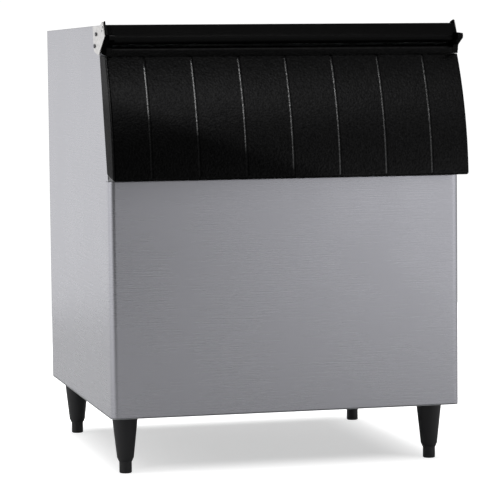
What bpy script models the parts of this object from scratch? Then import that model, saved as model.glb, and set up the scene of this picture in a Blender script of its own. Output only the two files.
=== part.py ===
"""Ice storage bin: a foamed stainless cabinet on four legs, with a bowed door hinged along its top edge.

Metres, +Z up. The front faces -Y and the bin's left side is at -X. The origin is on the floor under the
middle of the whole bin, bowed door included. Side-view outlines are written as (y, z), with y measured back
from the front panel's face and z measured up from the floor.
"""

import math

import bmesh
import bpy
from mathutils import Matrix, Vector

# Cabinet
CABINET_WIDTH = 0.762
CABINET_DEPTH = 0.760
CABINET_HEIGHT = 0.820
LEG_HEIGHT = 0.126
WALL = 0.048
SHEET = 0.0012
GAP = 0.0003
BEND = 0.0016
PANEL_CORNER_RADIUS = 0.014
PANEL_RETURN = 0.026
TOP_FLANGE = 0.0135
BACK_FLANGE = 0.018
OVERRUN = 0.030

# Sloping frame that the door closes on
FRAME_FOOT_SETBACK = 0.004
FRAME_TOP_SETBACK = 0.075
GASKET_SPACE = 0.005

# Door
DOOR_TOP_DROP = 0.066
DOOR_BOTTOM_DROP = 0.322
DOOR_TOP_RISE = 0.003
DOOR_BOTTOM_RISE = 0.010
DOOR_FOOT_GAP = 0.002
DOOR_HEAD_GAP = 0.001
DOOR_OVERHANG = 0.002
DOOR_SKIN = 0.003
DOOR_CORNER_RADIUS = 0.006
DOOR_EDGE_ROUND = 0.005
DOOR_FOAM_END_INSET = 0.0056
DOOR_LEVELS = 10
BOW_REACH = 0.065
BOW_RADIUS = 0.570
BOW_CREST_DROP = 0.024
RIB_COUNT = 7
RIB_END_MARGIN = 0.0812
RIB_WIDTH = 0.0060
RIB_HEIGHT = 0.0018
RIB_HEAD_RUNOUT = 0.003
RIB_FOOT_RUNOUT = 0.008
RIB_FORM_SHARES = ((-0.5, 0.0), (-0.2, 1.0), (0.2, 1.0), (0.5, 0.0))

# Door hinge
HINGE_DROP = 0.0545
HINGE_SETBACK = 0.007
BARREL_RADIUS = 0.008
BARREL_WEB = 0.013
PIN_RADIUS = 0.003
PIN_LENGTH = 0.027
BUSH_WALL = 0.0018
BUSH_LENGTH = 0.018

# Door lining
PAN_THICKNESS = 0.0025
PAN_MARGIN = 0.0052
PLUG_REACH = 0.006
PLUG_CLEARANCE = 0.012
PLUG_TAPER = 0.004
GASKET_WIDTH = 0.012
GASKET_SIDE_MARGIN = 0.020
GASKET_END_MARGIN = 0.008
GASKET_CORNER_RADIUS = 0.016

# Fascia, its rail and its end caps
FASCIA_HEIGHT = 0.0415
FASCIA_THICKNESS = 0.0025
FASCIA_DEPTH = 0.0477
FASCIA_PROUD = 0.0050
FASCIA_BROW_SETBACK = 0.0145
FASCIA_KNEE_SETBACK = 0.0005
FASCIA_KNEE_DROP = 0.021
FASCIA_ROLL = 0.015
FASCIA_EDGE_RADIUS = 0.002
RAIL_SETBACK = 0.021
RAIL_LIP_RISE = 0.0005
CAP_WIDTH = 0.0115
CAP_PEAK_SETBACK = 0.022
CAP_PEAK_RISE = 0.0085
CAP_PEAK_RADIUS = 0.003
CAP_NOSE_SETBACK = 0.003
CAP_NOSE_DROP = 0.0205
CAP_CORNER_RADIUS = 0.008
CAP_LIP = 0.0025
CAP_LIP_BACK_RISE = 0.003
CAP_LOBE_RADIUS = 0.0065
CAP_DOOR_GAP = 0.0012
CAP_TAIL_SETBACK = 0.066
CAP_TAIL_DROP = 0.0593
CAP_TAIL_CLEARANCE = 0.002
HORN_REACH = 0.033
HORN_TIP_DROP = 0.0225
HORN_TIP = 0.0095
HORN_TIP_RADIUS = 0.0042
HORN_ROOT_DROP = 0.0475
HORN_ROOT_RADIUS = 0.008

# Header above the access opening
HEADER_SETBACK = 0.049
HEADER_DEPTH = 0.112
HEADER_LIP_RISE = 0.0125
SIDE_HEAD_SETBACK = 0.048
SIDE_HEAD_DROP = 0.0425

# Hinge plates and their fixings
PLATE_THICKNESS = 0.002
PLATE_EDGE_INSET = 0.008
PLATE_NOSE_DROP = 0.026
PLATE_TIP_SETBACK = 0.080
PLATE_TIP_DROP = 0.0625
PLATE_HEEL_SETBACK = 0.132
PLATE_HEEL_DROP = 0.054
PLATE_BACK_SETBACK = 0.146
PLATE_SHOULDER_SETBACK = 0.062
PLATE_TOP_DROP = 0.001
PLATE_CORNER_RADIUS = 0.003
UPPER_SCREW_SETBACK = 0.104
UPPER_SCREW_DROP = 0.018
LOWER_SCREW_SETBACK = 0.122
LOWER_SCREW_DROP = 0.0425
FRONT_RIVET_SETBACK = 0.0305
FRONT_RIVET_DROP = 0.004
REAR_RIVET_SETBACK = 0.041
REAR_RIVET_DROP = 0.0115
SCREW_RADIUS = 0.0022
SCREW_HEAD_RADIUS = 0.0046
SCREW_HEAD_HEIGHT = 0.0024
SCREW_LENGTH = 0.010
HEAD_CROWN_SHARE = 0.6
HEAD_RIM_SHARE = 0.45
RIVET_RADIUS = 0.0016
RIVET_HEAD_RADIUS = 0.0030
RIVET_HEAD_HEIGHT = 0.0010
RIVET_LENGTH = 0.008

# Liner
LINER = 0.003
LINER_CORNER_RADIUS = 0.035
FLOOR_RISE_FRONT = 0.060
FLOOR_RISE_BACK = 0.048
DRAIN_FLAT = 0.100
SILL_RISE = 0.034
SILL_SLOPE = 0.004
ACCESS_TOP_DROP = 0.094

# Ice baffle
BAFFLE_SIDE_CLEARANCE = 0.008
BAFFLE_TOP_DROP = 0.012
BAFFLE_BEND_DROP = 0.086
BAFFLE_LEAN = 0.046
BAFFLE_FOOT_DROP = 0.170
BAFFLE_SCREW_MARGIN = 0.090
BAFFLE_SCREW_DROP = 0.036
KNOB_RADIUS = 0.008
KNOB_HEIGHT = 0.009
KNOB_SCREW_RADIUS = 0.0025
KNOB_SCREW_LENGTH = 0.016

# Drain
DRAIN_FROM_BACK = 0.098
DRAIN_PIPE_RADIUS = 0.013
DRAIN_BORE_RADIUS = 0.0095
DRAIN_FLANGE_RADIUS = 0.022
DRAIN_FLANGE_HEIGHT = 0.0025
DRAIN_PIPE_BELOW = 0.030
DRAIN_NUT_RADIUS = 0.021
DRAIN_NUT_HEIGHT = 0.009
STRAINER_MARGIN = 0.0015
STRAINER_HEIGHT = 0.0018
STRAINER_HOLES = 6
STRAINER_HOLE_RADIUS = 0.0022
STRAINER_RING_RADIUS = 0.0062

# Legs and feet
LEG_INSET_X = 0.043
LEG_INSET_Y = 0.082
LEG_TOP_RADIUS = 0.028
LEG_TAPER_RADIUS = 0.018
LEG_END_RADIUS = 0.0142
LEG_CHAMFER = 0.0085
LEG_TOP_EDGE = 0.001
FOOT_RADIUS = 0.0134
FOOT_HEIGHT = 0.0245
FOOT_CHAMFER = 0.0015
FOOT_STEM_RADIUS = 0.005
FOOT_STEM_LENGTH = 0.034
LEG_BORE_DEPTH = 0.040
STUD_RADIUS = 0.006
STUD_IN_LEG = 0.026
STUD_IN_BIN = 0.020
LEG_PLATE_HALF = 0.032
LEG_PLATE_THICKNESS = 0.003
LEG_BOSS_RADIUS = 0.011
LEG_BOSS_HEIGHT = 0.018

# Facets
ARC_STEPS = 5
CORNER_STEPS = 3
ROUND_STEPS = 28
SMALL_STEPS = 16
HOLE_STEPS = 8
MERGE_DISTANCE = 0.00001
SMOOTH_ANGLE = math.radians(35)

# Places worked out from the sizes
HALF = CABINET_WIDTH / 2
TOP = LEG_HEIGHT + CABINET_HEIGHT
FRONT = (BOW_REACH - CABINET_DEPTH) / 2
PANEL_FOOT = LEG_HEIGHT + SHEET + GAP
BODY_FOOT = PANEL_FOOT + SHEET + GAP
BODY_BACK = CABINET_DEPTH - 2 * (SHEET + GAP)
BODY_TOP = TOP - SHEET - GAP
BODY_HALF = HALF - SHEET - GAP
DOOR_TOP = TOP - DOOR_TOP_DROP
DOOR_BOTTOM = TOP - DOOR_BOTTOM_DROP
DOOR_BACK_TOP = DOOR_TOP + DOOR_TOP_RISE
DOOR_BACK_BOTTOM = DOOR_BOTTOM + DOOR_BOTTOM_RISE
SHELF = DOOR_BOTTOM - DOOR_FOOT_GAP
FRAME_TOP = DOOR_BACK_TOP + DOOR_HEAD_GAP
FRAME_SLOPE = (FRAME_TOP_SETBACK - FRAME_FOOT_SETBACK) / (FRAME_TOP - SHELF)
FRAME_ANGLE = math.atan(FRAME_SLOPE)
BOW_CENTRE = (math.sqrt(BOW_RADIUS**2 - BOW_CREST_DROP**2) - BOW_REACH, DOOR_BOTTOM - BOW_CREST_DROP)
HINGE = (HINGE_SETBACK, TOP - HINGE_DROP)
INNER_END = HALF - CAP_WIDTH - GAP
SILL = SHELF + SILL_RISE
ACCESS_TOP = TOP - ACCESS_TOP_DROP
ACCESS_HALF = HALF - WALL - LINER_CORNER_RADIUS
BAFFLE_HALF = ACCESS_HALF - BAFFLE_SIDE_CLEARANCE
FLOOR_BACK = LEG_HEIGHT + FLOOR_RISE_BACK
FLOOR_FRONT = LEG_HEIGHT + FLOOR_RISE_FRONT
DOOR_HALF = HALF + DOOR_OVERHANG
RIB_PITCH = 2 * (DOOR_HALF - RIB_END_MARGIN) / (RIB_COUNT - 1)
SIDES = {"left": -1, "right": 1}
PLATE_SCREWS = {
    "upper": (UPPER_SCREW_SETBACK, UPPER_SCREW_DROP),
    "lower": (LOWER_SCREW_SETBACK, LOWER_SCREW_DROP),
}
CAP_RIVETS = {
    "front": (FRONT_RIVET_SETBACK, FRONT_RIVET_DROP),
    "rear": (REAR_RIVET_SETBACK, REAR_RIVET_DROP),
}

# Local (y, z, x) of a side view to the world
SIDE_VIEW = Matrix(((0, 0, 1, 0), (1, 0, 0, FRONT), (0, 1, 0, 0), (0, 0, 0, 1)))


def frame_y(z):
    """Setback of the sloping frame's face at a height."""
    return FRAME_FOOT_SETBACK + (z - SHELF) * FRAME_SLOPE


def door_back_y(z):
    return frame_y(z) - GASKET_SPACE / math.cos(FRAME_ANGLE)


def bow_y(z):
    """Setback of the bowed door face at a height: an arc whose crest lies below the door's lower edge."""
    return BOW_CENTRE[0] - math.sqrt(BOW_RADIUS**2 - (z - BOW_CENTRE[1]) ** 2)


def side_head_z(y):
    """Height of the side panel's edge above the frame, which rises forward under the hinge plate."""
    share = (y - SIDE_HEAD_SETBACK) / (FRAME_TOP_SETBACK - SIDE_HEAD_SETBACK)
    head = TOP - SIDE_HEAD_DROP
    return head + (FRAME_TOP - head) * share


# Outlines

def arc(centre, radius, start, end, steps=ARC_STEPS):
    """Points of an arc from one angle to another, in degrees."""
    points = []
    for step in range(steps + 1):
        angle = math.radians(start + (end - start) * step / steps)
        points.append((centre[0] + radius * math.cos(angle), centre[1] + radius * math.sin(angle)))
    return points


def rounded(corners, steps=CORNER_STEPS):
    """A closed outline from (a, b, radius) corners, with an arc at each corner that has a radius."""
    outline = []
    for index, (a, b, radius) in enumerate(corners):
        corner = Vector((a, b))
        if not radius:
            outline.append((a, b))
            continue
        before = (Vector(corners[index - 1][:2]) - corner).normalized()
        after = (Vector(corners[(index + 1) % len(corners)][:2]) - corner).normalized()
        half = before.angle(after) / 2
        centre = corner + (before + after).normalized() * (radius / math.sin(half))
        start = (corner + before * (radius / math.tan(half)) - centre).normalized()
        end = (corner + after * (radius / math.tan(half)) - centre).normalized()
        for step in range(steps + 1):
            point = centre + start.slerp(end, step / steps) * radius
            outline.append((point.x, point.y))
    return outline


def rectangle(a_low, b_low, a_high, b_high, radius=0, steps=CORNER_STEPS):
    corners = ((a_low, b_low), (a_high, b_low), (a_high, b_high), (a_low, b_high))
    return rounded([(a, b, radius) for a, b in corners], steps)


def meet(point, along, other, other_along):
    """Where two lines cross."""
    share = (other - point).cross(other_along) / along.cross(other_along)
    return point + along * share


def shifted(outline, distances):
    """A counter-clockwise closed outline with each edge moved inwards by its distance."""
    points = [Vector(point) for point in outline]
    lines = []
    for index, point in enumerate(points):
        along = (points[(index + 1) % len(points)] - point).normalized()
        inward = Vector((-along.y, along.x))
        lines.append((point + inward * distances[index], along))
    moved = [meet(*lines[index - 1], *lines[index]) for index in range(len(lines))]
    return [(point.x, point.y) for point in moved]


def thickened(path, thickness):
    """The outline of a strip that lies to the left of an open path, with a mitred inner side."""
    points = [Vector(point) for point in path]
    lines = []
    for start, end in zip(points, points[1:]):
        along = (end - start).normalized()
        lines.append((start + Vector((-along.y, along.x)) * thickness, along))
    inner = [lines[0][0]]
    inner += [meet(*first, *second) for first, second in zip(lines, lines[1:])]
    last = lines[-1][1]
    inner.append(points[-1] + Vector((-last.y, last.x)) * thickness)
    return [tuple(point) for point in points] + [tuple(point) for point in reversed(inner)]


# Scene and materials

def clear_scene():
    for obj in list(bpy.data.objects):
        bpy.data.objects.remove(obj)


def new_collection(name):
    collection = bpy.data.collections.new(name)
    bpy.context.scene.collection.children.link(collection)
    return collection


def new_material(name, colour, roughness, metallic=0.0):
    material = bpy.data.materials.new(name)
    material.use_nodes = True
    shader = material.node_tree.nodes["Principled BSDF"]
    shader.inputs["Base Color"].default_value = (*colour, 1)
    shader.inputs["Roughness"].default_value = roughness
    shader.inputs["Metallic"].default_value = metallic
    return material


clear_scene()
PARTS = new_collection("ice_storage_bin")
CUTTERS = new_collection("cutters")

STAINLESS = ((0.62, 0.62, 0.65), 0.34, 1.0)
GALVANISED = ((0.55, 0.57, 0.58), 0.50, 1.0)
BRIGHT_STEEL = ((0.80, 0.80, 0.80), 0.22, 1.0)
BLACK_PLASTIC = ((0.012, 0.012, 0.013), 0.38)
LEG_PLASTIC = ((0.020, 0.020, 0.021), 0.45)
WHITE_PLASTIC = ((0.86, 0.87, 0.88), 0.40)
FOAM = ((0.80, 0.72, 0.48), 0.90)
RUBBER = ((0.03, 0.03, 0.03), 0.70)
NYLON = ((0.90, 0.89, 0.84), 0.50)
BRASS = ((0.72, 0.53, 0.25), 0.35, 1.0)


# Solids

def add(name, mesh, finish, matrix=None):
    """A piece of the bin with its own material, or a cutter where the finish is None."""
    obj = bpy.data.objects.new(name, mesh)
    if matrix is not None:
        obj.matrix_world = matrix
    if finish is None:
        obj.hide_render = True
        obj.display_type = "WIRE"
        CUTTERS.objects.link(obj)
    else:
        mesh.materials.append(new_material(name, *finish))
        PARTS.objects.link(obj)
    return obj


def outline_mesh(name, loops, depth):
    """A flat outline, with any holes as further loops, thickened by its depth about its own plane."""
    curve = bpy.data.curves.new(name, "CURVE")
    curve.dimensions = "2D"
    curve.fill_mode = "BOTH"
    curve.extrude = depth / 2
    for loop in loops:
        spline = curve.splines.new("POLY")
        spline.points.add(len(loop) - 1)
        for point, place in zip(spline.points, loop):
            point.co = (*place, 0, 1)
        spline.use_cyclic_u = True
    guide = bpy.data.objects.new(name, curve)
    CUTTERS.objects.link(guide)
    graph = bpy.context.evaluated_depsgraph_get()
    mesh = bpy.data.meshes.new_from_object(guide.evaluated_get(graph))
    bpy.data.objects.remove(guide)
    bpy.data.curves.remove(curve)
    shape = bmesh.new()
    shape.from_mesh(mesh)
    bmesh.ops.remove_doubles(shape, verts=shape.verts, dist=MERGE_DISTANCE)
    bmesh.ops.recalc_face_normals(shape, faces=shape.faces)
    shape.to_mesh(mesh)
    shape.free()
    mesh.materials.clear()
    return mesh


def side_slab(name, outline, x_low, x_high, finish=None):
    """A side-view outline given a width from one x to another."""
    place = SIDE_VIEW @ Matrix.Translation((0, 0, (x_low + x_high) / 2))
    return add(name, outline_mesh(name, [outline], x_high - x_low), finish, place)


def plan_slab(name, loops, z_low, z_high, finish=None):
    """A plan outline, in x and setback, given a height from one level to another."""
    place = Matrix.Translation((0, FRONT, (z_low + z_high) / 2))
    return add(name, outline_mesh(name, loops, z_high - z_low), finish, place)


def cylinder(name, radius, length, centre, axis="Z", finish=None, steps=SMALL_STEPS):
    """A cylinder by its centre, which is written as x, setback and height."""
    shape = bmesh.new()
    bmesh.ops.create_cone(shape, cap_ends=True, segments=steps, radius1=radius, radius2=radius, depth=length)
    mesh = bpy.data.meshes.new(name)
    shape.to_mesh(mesh)
    shape.free()
    mesh.shade_smooth()
    mesh.set_sharp_from_angle(angle=SMOOTH_ANGLE)
    place = Matrix.Translation((centre[0], FRONT + centre[1], centre[2]))
    turns = {"X": Matrix.Rotation(math.pi / 2, 4, "Y"), "Y": Matrix.Rotation(math.pi / 2, 4, "X")}
    return add(name, mesh, finish, place @ turns.get(axis, Matrix.Identity(4)))


def turned(name, profile, place, finish, steps=ROUND_STEPS, ring=False):
    """A (radius, height) profile, running down its outer side, turned about Z by a Screw modifier."""
    mesh = bpy.data.meshes.new(name)
    edges = [(index, index + 1) for index in range(len(profile) - 1)]
    if ring:
        edges.append((len(profile) - 1, 0))
    mesh.from_pydata([(radius, 0, height) for radius, height in profile], edges, [])
    obj = add(name, mesh, finish, place)
    screw = obj.modifiers.new("turn", "SCREW")
    screw.steps = steps
    screw.render_steps = steps
    screw.use_merge_vertices = True
    screw.merge_threshold = MERGE_DISTANCE
    screw.use_smooth_shade = True
    return obj


def folded_sheet(name, path, half_width, thickness, finish, inside):
    """A sheet bent along a side-view path. inside is 1 or -1: the side of the path that the metal lies on."""
    shape = bmesh.new()
    corners = [shape.verts.new((y, z, -half_width)) for y, z in path]
    chain = [shape.edges.new(pair) for pair in zip(corners, corners[1:])]
    grown = bmesh.ops.extrude_edge_only(shape, edges=chain)["geom"]
    far = [item for item in grown if isinstance(item, bmesh.types.BMVert)]
    bmesh.ops.translate(shape, verts=far, vec=(0, 0, 2 * half_width))
    mesh = bpy.data.meshes.new(name)
    shape.to_mesh(mesh)
    shape.free()
    obj = add(name, mesh, finish, SIDE_VIEW)
    bevel_bends(obj)
    solidify(obj, thickness, inside)
    return obj


def bevel_bends(obj):
    bevel = obj.modifiers.new("bends", "BEVEL")
    bevel.width = BEND
    bevel.segments = 2
    bevel.limit_method = "ANGLE"
    bevel.angle_limit = math.radians(50)


def solidify(obj, thickness, offset):
    wall = obj.modifiers.new("wall", "SOLIDIFY")
    wall.thickness = thickness
    wall.offset = offset
    wall.use_even_offset = True


def boolean(obj, other, operation="DIFFERENCE"):
    modifier = obj.modifiers.new(operation.lower(), "BOOLEAN")
    modifier.operation = operation
    modifier.object = other


def hang_on(children, pivot):
    """Parents pieces to an empty without moving them."""
    for child in children:
        child.parent = pivot
        child.matrix_parent_inverse = pivot.matrix_world.inverted()


def new_pivot(name, x, setback, height):
    pivot = bpy.data.objects.new(name, None)
    pivot.matrix_world = Matrix.Translation((x, FRONT + setback, height))
    PARTS.objects.link(pivot)
    return pivot


# Cabinet shell

def front_panel():
    """A sheet with rounded upright bends that wraps on to both sides, with a flange at its top and foot."""
    radius = PANEL_CORNER_RADIUS
    left = arc((radius - HALF, radius), radius, 180, 270)
    right = arc((HALF - radius, radius), radius, 270, 360)
    path = [(-HALF, PANEL_RETURN), *left, *right, (HALF, PANEL_RETURN)]
    shape = bmesh.new()
    foot = [shape.verts.new((x, FRONT + y, PANEL_FOOT)) for x, y in path]
    chain = [shape.edges.new(pair) for pair in zip(foot, foot[1:])]
    grown = bmesh.ops.extrude_edge_only(shape, edges=chain)["geom"]
    head = [item for item in grown if isinstance(item, bmesh.types.BMVert)]
    bmesh.ops.translate(shape, verts=head, vec=(0, 0, SHELF - PANEL_FOOT))
    bmesh.ops.contextual_create(shape, geom=foot)
    bmesh.ops.contextual_create(shape, geom=head)
    bmesh.ops.recalc_face_normals(shape, faces=shape.faces)
    mesh = bpy.data.meshes.new("front_panel")
    shape.to_mesh(mesh)
    shape.free()
    obj = add("front_panel", mesh, STAINLESS)
    bevel_bends(obj)
    solidify(obj, SHEET, -1)
    return obj


def side_outline():
    """The side panel's outline, notched at its lower front for the front panel's return."""
    front = PANEL_RETURN + GAP
    ledge = SHELF + GAP
    back = CABINET_DEPTH - SHEET - GAP
    return [
        (back, TOP),
        (SIDE_HEAD_SETBACK, TOP),
        (SIDE_HEAD_SETBACK, side_head_z(SIDE_HEAD_SETBACK)),
        (FRAME_TOP_SETBACK, FRAME_TOP),
        (frame_y(ledge), ledge),
        (front, ledge),
        (front, PANEL_FOOT),
        (back, PANEL_FOOT),
    ]


def side_panel(side):
    """A flat sheet with flanges turned inwards along its foot, back and top."""
    sign = SIDES[side]
    shape = bmesh.new()
    corners = [shape.verts.new((sign * HALF, FRONT + y, z)) for y, z in side_outline()]
    shape.faces.new(corners)
    flanged = [corners[-2:], (corners[-1], corners[0]), corners[:2]]
    chain = [shape.edges.get(pair) for pair in flanged]
    grown = bmesh.ops.extrude_edge_only(shape, edges=chain)["geom"]
    inner = [item for item in grown if isinstance(item, bmesh.types.BMVert)]
    for vertex in inner:
        is_top = vertex.co.z > TOP - GAP
        is_back = vertex.co.y > FRONT + CABINET_DEPTH / 2
        vertex.co.x -= sign * (TOP_FLANGE if is_top else BACK_FLANGE if is_back else TOP_FLANGE)
    bmesh.ops.recalc_face_normals(shape, faces=shape.faces)
    name = f"{side}_side_panel"
    mesh = bpy.data.meshes.new(name)
    shape.to_mesh(mesh)
    shape.free()
    obj = add(name, mesh, STAINLESS)
    bevel_bends(obj)
    solidify(obj, SHEET, -1)
    return obj


def back_panel():
    outline = rectangle(CABINET_DEPTH - SHEET, PANEL_FOOT, CABINET_DEPTH, TOP)
    return side_slab("back_panel", outline, -HALF, HALF, GALVANISED)


def front_rounded(half, front, back, radius):
    """A plan outline whose two front corners are rounded like the front panel's bends."""
    corners = [(-half, front, radius), (half, front, radius), (half, back, 0), (-half, back, 0)]
    return rounded(corners, ARC_STEPS)


def base_panel():
    outline = front_rounded(HALF, 0, CABINET_DEPTH, PANEL_CORNER_RADIUS)
    return plan_slab("base_panel", [outline], LEG_HEIGHT, LEG_HEIGHT + SHEET, GALVANISED)


# Liner and insulation

def body_outline():
    """The space inside the sheets, in side view, counter-clockwise from the front foot."""
    ledge = SHELF + GAP
    under_ledge = SHELF - SHEET - GAP
    return [
        (SHEET + GAP, BODY_FOOT),
        (BODY_BACK, BODY_FOOT),
        (BODY_BACK, BODY_TOP),
        (HEADER_SETBACK, BODY_TOP),
        (HEADER_SETBACK, FRAME_TOP + HEADER_LIP_RISE),
        (FRAME_TOP_SETBACK, FRAME_TOP),
        (frame_y(ledge), ledge),
        (PANEL_RETURN + GAP, ledge),
        (PANEL_RETURN + GAP, under_ledge),
        (SHEET + GAP, under_ledge),
    ]


def tub_outline(wall):
    """The ice space in side view, moved outwards by a wall, up through the top and under the header."""
    outline = [
        (WALL, FLOOR_FRONT),
        (CABINET_DEPTH - WALL - DRAIN_FLAT, FLOOR_BACK),
        (CABINET_DEPTH - WALL, FLOOR_BACK),
        (CABINET_DEPTH - WALL, TOP + OVERRUN),
        (HEADER_DEPTH, TOP + OVERRUN),
        (HEADER_DEPTH, ACCESS_TOP),
        (WALL, ACCESS_TOP),
    ]
    return shifted(outline, [-wall] * len(outline))


def access_outline(wall):
    """The way through the front wall in side view, with a sill that drains inwards."""
    inner = WALL + LINER
    outline = [(-OVERRUN, SILL + SILL_SLOPE), (inner, SILL), (inner, ACCESS_TOP), (-OVERRUN, ACCESS_TOP)]
    return shifted(outline, [-wall, 0, -wall, 0])


def tub(name, wall):
    """A cutter of the ice space, with round upright corners in plan, moved outwards by a wall."""
    half = HALF - WALL + wall
    radius = LINER_CORNER_RADIUS + wall
    solid = side_slab(name, tub_outline(wall), -half, half)
    plan = rectangle(-half, WALL - wall, half, CABINET_DEPTH - WALL + wall, radius, ARC_STEPS)
    boolean(solid, plan_slab(f"{name}_plan", [plan], LEG_HEIGHT, TOP + 2 * OVERRUN), "INTERSECT")
    return solid


def bin_liner(cap_pockets, ice_space, access):
    """A moulded tub with a rim under the top flanges and a frame that lines the sloping front."""
    half = HALF - WALL + LINER
    radius = LINER_CORNER_RADIUS + LINER
    liner = side_slab("bin_liner", tub_outline(LINER), -half, half, WHITE_PLASTIC)
    plan = rectangle(-half, WALL - LINER, half, CABINET_DEPTH - WALL + LINER, radius, ARC_STEPS)
    boolean(liner, plan_slab("liner_plan", [plan], LEG_HEIGHT, TOP + 2 * OVERRUN), "INTERSECT")
    through = side_slab("access_wall", access_outline(LINER), -ACCESS_HALF - LINER, ACCESS_HALF + LINER)
    boolean(liner, through, "UNION")
    frame_foot = SHELF - GAP
    face = [
        (HEADER_SETBACK - GAP, FRAME_TOP + HEADER_LIP_RISE),
        (FRAME_TOP_SETBACK, FRAME_TOP),
        (frame_y(frame_foot), frame_foot),
    ]
    boolean(liner, side_slab("frame_face", thickened(face, LINER), -BODY_HALF, BODY_HALF), "UNION")
    rim = rectangle(HEADER_SETBACK, BODY_TOP - LINER, BODY_BACK, BODY_TOP)
    boolean(liner, side_slab("rim", rim, -BODY_HALF, BODY_HALF), "UNION")
    boolean(liner, side_slab("body", body_outline(), -HALF, HALF), "INTERSECT")
    for cutter in (ice_space, access, *cap_pockets):
        boolean(liner, cutter)
    return liner


def wall_insulation(cap_pockets):
    """One foam body that fills the space between the sheets and the liner."""
    skin = LINER + GAP
    distances = [0, 0, skin, 0, skin, skin, 0, 0, 0, 0]
    foam = side_slab("wall_insulation", shifted(body_outline(), distances), -BODY_HALF, BODY_HALF, FOAM)
    inset = SHEET + GAP
    plan = front_rounded(BODY_HALF, inset, BODY_BACK, PANEL_CORNER_RADIUS - inset)
    boolean(foam, plan_slab("foam_plan", [plan], LEG_HEIGHT, TOP), "INTERSECT")
    half = ACCESS_HALF + skin
    for cutter in (
        tub("foam_tub", skin),
        side_slab("foam_access", access_outline(skin), -half, half),
        *cap_pockets,
    ):
        boolean(foam, cutter)
    return foam


def cap_pocket(side):
    """Room for an end cap's tail in the liner and the foam."""
    sign = SIDES[side]
    inner = sign * INNER_END
    outer = sign * (HALF + OVERRUN)
    low = FRAME_TOP - 2 * CAP_TAIL_CLEARANCE
    front = SIDE_HEAD_SETBACK - CAP_TAIL_CLEARANCE
    back = FRAME_TOP_SETBACK + CAP_TAIL_CLEARANCE
    outline = [(front, low), (back, low), (back, side_head_z(back) + GAP), (front, side_head_z(front) + GAP)]
    return side_slab(f"{side}_cap_pocket", outline, min(inner, outer), max(inner, outer))


# Fascia, rail and end caps

def header_rail():
    """A channel across the top front that carries the fascia and closes the header's front and underside."""
    under_fascia = TOP - FASCIA_THICKNESS - GAP
    foot = TOP - FASCIA_HEIGHT - RAIL_LIP_RISE
    path = [
        (FASCIA_DEPTH, under_fascia),
        (RAIL_SETBACK, under_fascia),
        (RAIL_SETBACK, foot),
        (FASCIA_DEPTH, FRAME_TOP + HEADER_LIP_RISE + GAP),
    ]
    return folded_sheet("header_rail", path, INNER_END, SHEET, GALVANISED, 1)


def fascia():
    """A top leg on the rail, a face that leans back like the caps and a rolled lower edge."""
    foot = TOP - FASCIA_HEIGHT
    roll = arc((FASCIA_ROLL - FASCIA_PROUD, foot + FASCIA_ROLL), FASCIA_ROLL, 180, 270)
    edge = FASCIA_EDGE_RADIUS
    brow = arc((FASCIA_BROW_SETBACK + edge, TOP - edge), edge, 90, 150, CORNER_STEPS)
    knee = (FASCIA_KNEE_SETBACK, TOP - FASCIA_KNEE_DROP)
    path = [(FASCIA_DEPTH, TOP), *brow, knee, *roll, (RAIL_SETBACK - GAP, foot)]
    return folded_sheet("fascia", path, INNER_END, FASCIA_THICKNESS, BLACK_PLASTIC, 1)


def cap_outline():
    """An end cap in side view: a peak, a forward horn, a lobe round the hinge pin and a tail to the rear."""
    horn_top = TOP - HORN_TIP_DROP
    head_back = SIDE_HEAD_SETBACK - GAP
    foot = DOOR_TOP + CAP_DOOR_GAP
    lobe_front = HINGE[0] - CAP_LOBE_RADIUS
    upper = rounded(
        [
            (head_back, TOP + CAP_LIP_BACK_RISE, 0),
            (CAP_PEAK_SETBACK, TOP + CAP_PEAK_RISE, CAP_PEAK_RADIUS),
            (CAP_NOSE_SETBACK, TOP - CAP_NOSE_DROP, 0),
            (-HORN_REACH, horn_top, HORN_TIP_RADIUS),
            (-HORN_REACH, horn_top - HORN_TIP, HORN_TIP_RADIUS),
            (lobe_front, TOP - HORN_ROOT_DROP, HORN_ROOT_RADIUS),
            (lobe_front, HINGE[1], 0),
        ]
    )
    lower = [
        (HINGE[0] - CAP_LOBE_RADIUS / 2, foot),
        (CAP_TAIL_SETBACK - CAP_LOBE_RADIUS, TOP - CAP_TAIL_DROP),
        (CAP_TAIL_SETBACK, side_head_z(CAP_TAIL_SETBACK) - 2 * GAP),
        (head_back, side_head_z(head_back) - 2 * GAP),
    ]
    return upper[:-1] + arc(HINGE, CAP_LOBE_RADIUS, 180, 225, CORNER_STEPS) + lower


def corner_cut(side):
    """A cutter that rounds an end cap's outer front corner, from the horn up along the leaning front."""
    sign = SIDES[side]
    radius = CAP_CORNER_RADIUS
    inner = HALF - radius
    outer = HALF + OVERRUN
    corner = [(inner, -OVERRUN), (outer, -OVERRUN), (outer, radius), *arc((inner, radius), radius, 0, -90)]
    height = CAP_NOSE_DROP + CAP_PEAK_RISE
    lean = (CAP_PEAK_SETBACK - CAP_NOSE_SETBACK) / height
    length = height + OVERRUN
    name = f"{side}_corner_cut"
    mesh = outline_mesh(name, [[(sign * x, y) for x, y in corner]], length)
    shear = Matrix(((1, 0, 0, 0), (0, 1, lean, 0), (0, 0, 1, 0), (0, 0, 0, 1)))
    mesh.transform(shear @ Matrix.Translation((0, 0, length / 2)))
    return add(name, mesh, None, Matrix.Translation((0, FRONT + CAP_NOSE_SETBACK, TOP - CAP_NOSE_DROP)))


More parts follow.
